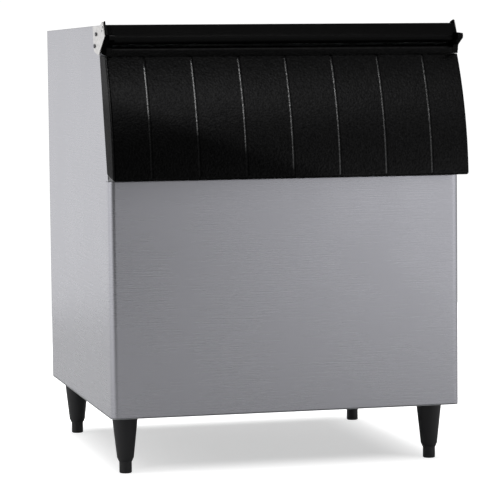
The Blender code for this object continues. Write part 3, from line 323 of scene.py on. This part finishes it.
def spangled(name, colour, roughness):
    """Galvanised sheet with soft patches of unlike tone and gloss."""
    material, tree, shader = new_material(name, colour, roughness, 1.0)
    patch = tree.nodes.new("ShaderNodeSeparateColor")
    tree.links.new(add_cells(tree, SPANGLE_SCALE)["Color"], patch.inputs["Color"])
    tint = add_tint(tree, patch.outputs["Red"], toned(colour, SPANGLE_TONE), colour)
    gloss = ranged(tree, patch.outputs["Green"], (roughness - SPANGLE_GLOSS, roughness + SPANGLE_GLOSS))
    tree.links.new(tint, shader.inputs["Base Color"])
    tree.links.new(gloss, shader.inputs["Roughness"])
    return material


def dull_edges(tree, facing, grazing):
    """Shine that falls where a surface is seen at a grazing angle, as a textured moulding's does."""
    layer = tree.nodes.new("ShaderNodeLayerWeight")
    layer.inputs["Blend"].default_value = FACING_BLEND
    return ranged(tree, layer.outputs["Facing"], (facing, grazing), FACING_SPREAD, smooth=True)


def outside_painted_shade(tree):
    """1 outside the painted shade and 0 at the door's lower left, below a falling line, where shade is
    painted by lowering the shine.
    """
    place = tree.nodes.new("ShaderNodeTexCoord")
    axes = axes_of(tree, place.outputs["Object"])
    fallen = calculated(tree, "MULTIPLY", axes["X"], PAINTED_SHADE_FALL)
    height = calculated(tree, "ADD", axes["Z"], fallen)
    spread = (PAINTED_SHADE_HEIGHT - PAINTED_SHADE_SOFTNESS, PAINTED_SHADE_HEIGHT + PAINTED_SHADE_SOFTNESS)
    return ranged(tree, height, (0.0, 1.0), spread, smooth=True)


def painted_flank_highlight(tree, gain, unshaded):
    """A factor above 1 on the flanks of raised ribs, whose normals lean along the object's x axis: a
    painted highlight that boosts their real reflection so the ribs show as bright lines.
    """
    place = tree.nodes.new("ShaderNodeTexCoord")
    lean = calculated(tree, "ABSOLUTE", axes_of(tree, place.outputs["Normal"])["X"])
    offset = calculated(tree, "ABSOLUTE", axes_of(tree, place.outputs["Object"])["X"])
    inside = calculated(tree, "LESS_THAN", offset, RIBBED_HALF)
    leaning = calculated(tree, "MULTIPLY", lean, inside)
    leaning = calculated(tree, "MULTIPLY", leaning, unshaded)
    return ranged(tree, leaning, (1.0, gain), LEAN_SPREAD)


def grained(name, colour, roughness, shine, grazing, grain, strength, speckle, gain):
    """Moulded black plastic with a fine pebble grain; where the gain is above 1, the rib flanks get a
    painted highlight of extra shine and the door's lower left a painted shade of less shine.
    """
    material, tree, shader = new_material(name, colour, roughness)
    shader.inputs["Specular IOR Level"].default_value = PLAIN_SHINE
    pebbles = add_cells(tree, grain)["Distance"]
    coarse = add_noise(tree, grain * COARSE_SCALE, COARSE_DETAIL)
    mottle = add_noise(tree, BLACK_MOTTLE_SCALE)
    gloss = ranged(tree, mottle, (roughness - BLACK_MOTTLE_GLOSS, roughness + BLACK_MOTTLE_GLOSS))
    speckles = ranged(tree, add_noise(tree, grain, SPECKLE_DETAIL), (1.0 - speckle, 1.0 + speckle))
    level = calculated(tree, "MULTIPLY", dull_edges(tree, shine, grazing), speckles)
    if gain > 1.0:
        unshaded = outside_painted_shade(tree)
        # Painted highlight: extra shine on the rib flanks
        level = calculated(tree, "MULTIPLY", level, painted_flank_highlight(tree, gain, unshaded))
        # Painted shade: less shine at the door's lower left
        level = calculated(tree, "MULTIPLY", level, ranged(tree, unshaded, (PAINTED_SHADE_LEVEL, 1.0)))
    tree.links.new(gloss, shader.inputs["Roughness"])
    tree.links.new(level, shader.inputs["Specular IOR Level"])
    add_bump(tree, shader, [(pebbles, 1.0), (coarse, COARSE_STRENGTH)], PEBBLE_DEPTH, strength)
    return material


def moulded(name, colour, roughness):
    """Smooth moulded plastic or rubber with a faint ripple and slight variation of tone and gloss."""
    material, tree, shader = new_material(name, colour, roughness)
    ripple = add_noise(tree, RIPPLE_SCALE)
    mottle = add_noise(tree, PLASTIC_MOTTLE_SCALE, PLASTIC_MOTTLE_DETAIL)
    tint = add_tint(tree, mottle, toned(colour, PLASTIC_MOTTLE_TONE), colour)
    gloss = ranged(tree, mottle, (roughness - PLASTIC_MOTTLE_GLOSS, roughness + PLASTIC_MOTTLE_GLOSS))
    tree.links.new(tint, shader.inputs["Base Color"])
    tree.links.new(gloss, shader.inputs["Roughness"])
    add_bump(tree, shader, [(ripple, 1.0)], RIPPLE_DEPTH, RIPPLE_STRENGTH)
    return material


def foamed(name, colour, roughness):
    """Rigid foam with small open cells."""
    material, tree, shader = new_material(name, colour, roughness)
    cells = add_noise(tree, CELL_SCALE, CELL_DETAIL)
    tint = add_tint(tree, cells, toned(colour, CELL_TONE), colour)
    tree.links.new(tint, shader.inputs["Base Color"])
    add_bump(tree, shader, [(cells, 1.0)], CELL_DEPTH, CELL_STRENGTH)
    return material


# The bin

def shade(node):
    """Shades curves smooth and keeps flats flat, by modifiers that leave the node's own mesh as it is."""
    node.data.shade_smooth()
    weld = node.modifiers.new("weld", "WELD")
    weld.merge_threshold = WELD_DISTANCE
    crisp = node.modifiers.new("crisp_edges", "EDGE_SPLIT")
    crisp.split_angle = SMOOTH_ANGLE
    node.modifiers.new("weighted", "WEIGHTED_NORMAL")


def dress():
    """Gives every CAD node its material and its smooth shading."""
    stainless = brushed("stainless", *STAINLESS)
    bright = brushed("bright_steel", *BRIGHT_STEEL, FIXING_GRAIN)
    plated = brushed("plated_steel", *PLATED_STEEL, PLATE_GRAIN, PLATE_TONES)
    dark_steel = brushed("dark_steel", *DARK_STEEL, FIXING_GRAIN)
    galvanised = spangled("galvanised", *GALVANISED)
    door = grained("door_plastic", *DOOR_PLASTIC, **DOOR_SURFACE)
    trim = grained("trim_plastic", *TRIM_PLASTIC, **TRIM_SURFACE)
    legs = moulded("leg_plastic", *LEG_PLASTIC)
    white = moulded("liner_plastic", *LINER_PLASTIC)
    foam = foamed("foam", *FOAM)
    rubber = moulded("gasket_rubber", *RUBBER)
    nylon = moulded("nylon", *NYLON)
    brass = brushed("drain_brass", *BRASS, BRASS_GRAIN)
    looks = {
        "front_panel": stainless,
        "left_side_panel": stainless,
        "right_side_panel": stainless,
        "ice_baffle": stainless,
        "drain_strainer": stainless,
        "back_panel": galvanised,
        "base_panel": galvanised,
        "header_rail": galvanised,
        "door_skin": door,
        "fascia": trim,
        "bin_liner": white,
        "door_inner_pan": white,
        "wall_insulation": foam,
        "door_insulation": foam,
        "door_gasket": rubber,
        "drain_fitting": brass,
        "drain_nut": brass,
    }
    endings = {
        "_leg": legs,
        "_levelling_foot": legs,
        "_end_cap": trim,
        "_hinge_plate": plated,
        "_hinge_pin": bright,
        "_leg_stud": bright,
        "_leg_plate": galvanised,
        "_upper": dark_steel,
        "_lower": dark_steel,
        "_front": bright,
        "_rear": bright,
        "_hinge_bush": nylon,
        "_baffle_screw": nylon,
    }
    for name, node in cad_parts.items():
        look = looks.get(name)
        for ending, candidate in endings.items():
            if look is None and name.endswith(ending):
                look = candidate
        node.data.materials.clear()
        node.data.materials.append(look)
        shade(node)


# Studio

def make_floor():
    """A floor that the camera sees as white away from the bin, with a soft shadow near it that is partly
    cast by the lamps and partly painted by a weaker glow.
    """
    mesh = bpy.data.meshes.new("floor")
    corners = [(x * FLOOR_REACH, y * FLOOR_REACH, 0) for x, y in ((-1, -1), (1, -1), (1, 1), (-1, 1))]
    mesh.from_pydata(corners, [], [(0, 1, 2, 3)])
    floor = bpy.data.objects.new("floor", mesh)
    bpy.context.scene.collection.objects.link(floor)
    material, tree, shader = new_material("floor", *FLOOR)
    shader.inputs["Specular IOR Level"].default_value = 0.0
    place = tree.nodes.new("ShaderNodeTexCoord")
    axes = axes_of(tree, place.outputs["Object"])
    across = calculated(tree, "ABSOLUTE", axes["X"])
    along = calculated(tree, "ABSOLUTE", calculated(tree, "SUBTRACT", axes["Y"], PAINTED_SHADOW_BACK))
    outwards = calculated(tree, "MAXIMUM", across, along)
    seen = tree.nodes.new("ShaderNodeLightPath")
    # The glow is weaker near the bin: a painted shadow over the lamps' cast one
    glow = ranged(tree, outwards, GLOW_LEVELS, GLOW_SPREAD, smooth=True)
    glow = calculated(tree, "MULTIPLY", glow, seen.outputs["Is Camera Ray"])
    shader.inputs["Emission Color"].default_value = WHITE
    tree.links.new(glow, shader.inputs["Emission Strength"])
    mesh.materials.append(material)


def panel_glow(tree, direction):
    """The bright panel's strength, by the angle between a direction and the panel's middle."""
    middle = tree.nodes.new("ShaderNodeVectorMath")
    middle.operation = "DOT_PRODUCT"
    middle.inputs[1].default_value = (
        math.sin(PANEL_COMPASS) * math.cos(PANEL_HEIGHT),
        -math.cos(PANEL_COMPASS) * math.cos(PANEL_HEIGHT),
        math.sin(PANEL_HEIGHT),
    )
    tree.links.new(direction, middle.inputs[0])
    apart = calculated(tree, "ARCCOSINE", middle.outputs["Value"])
    return ranged(tree, apart, (PANEL_LEVEL, 0.0), PANEL_SPREAD, smooth=True)


def make_world():
    """White for the camera, and a surround whose brightness is set by compass angle and by height."""
    world = bpy.data.worlds.new("studio")
    world.use_nodes = True
    bpy.context.scene.world = world
    tree = world.node_tree
    tree.nodes.clear()
    output = tree.nodes.new("ShaderNodeOutputWorld")
    white = tree.nodes.new("ShaderNodeBackground")
    white.inputs["Color"].default_value = WHITE
    white.inputs["Strength"].default_value = WHITE_LEVEL
    surround = tree.nodes.new("ShaderNodeBackground")
    surround.inputs["Color"].default_value = (*SURROUND_TINT, 1)
    place = tree.nodes.new("ShaderNodeTexCoord")
    axes = axes_of(tree, place.outputs["Generated"])
    forward = calculated(tree, "MULTIPLY", axes["Y"], -1.0)
    compass = calculated(tree, "DEGREES", calculated(tree, "ARCTAN2", axes["X"], forward))
    by_compass = add_curve(tree, compass, SURROUND_BY_COMPASS)
    by_height = add_curve(tree, axes["Z"], SURROUND_BY_HEIGHT)
    level = calculated(tree, "MULTIPLY", by_compass, by_height)
    level = calculated(tree, "ADD", level, panel_glow(tree, place.outputs["Generated"]))
    tree.links.new(level, surround.inputs["Strength"])
    seen = tree.nodes.new("ShaderNodeLightPath")
    mix = tree.nodes.new("ShaderNodeMixShader")
    tree.links.new(seen.outputs["Is Camera Ray"], mix.inputs["Fac"])
    tree.links.new(surround.outputs["Background"], mix.inputs[1])
    tree.links.new(white.outputs["Background"], mix.inputs[2])
    tree.links.new(mix.outputs["Shader"], output.inputs["Surface"])


def make_lights():
    for name, place, target, size, power in LIGHTS:
        light = bpy.data.lights.new(name, "AREA")
        light.shape = "RECTANGLE"
        light.size, light.size_y = size
        light.energy = power
        lamp = bpy.data.objects.new(name, light)
        aim = Vector(target) - Vector(place)
        lamp.matrix_world = Matrix.Translation(place) @ aim.to_track_quat("-Z", "Y").to_matrix().to_4x4()
        bpy.context.scene.collection.objects.link(lamp)
    bpy.context.scene.view_settings.view_transform = "Standard"


make_camera()
dress()
make_floor()
make_world()
make_lights()
